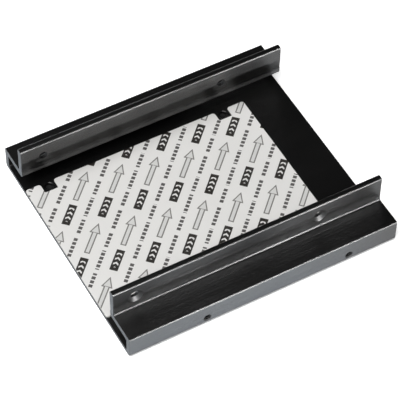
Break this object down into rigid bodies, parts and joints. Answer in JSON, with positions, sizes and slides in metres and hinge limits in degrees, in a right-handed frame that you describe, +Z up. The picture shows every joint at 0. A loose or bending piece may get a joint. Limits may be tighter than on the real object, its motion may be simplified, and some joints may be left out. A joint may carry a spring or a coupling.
{
  "type": "dual drive mounting frame",
  "caption": "Flat black aluminium frame with stepped side rails, countersunk flange holes and an adhesive pad under its printed liner, for stacking small drives in a larger drive bay.",
  "frame": {"origin": "centre of the base plate's underside", "axes": "+Y along the rails, from the end where the pad starts to the bare end; +X across the rails; +Z up, out of the base plate"},
  "size_m": [0.1016, 0.1124, 0.0225],
  "materials": {
    "frame_black": "black anodised, semi-gloss",
    "pad_adhesive": "soft, tacky",
    "liner_paper": "white coated liner, printed"
  },
  "bodies": {
    "root": {"mounting_frame": "frame_black", "adhesive_pad": "pad_adhesive", "release_liner": "liner_paper"}
  },
  "joints": []
}
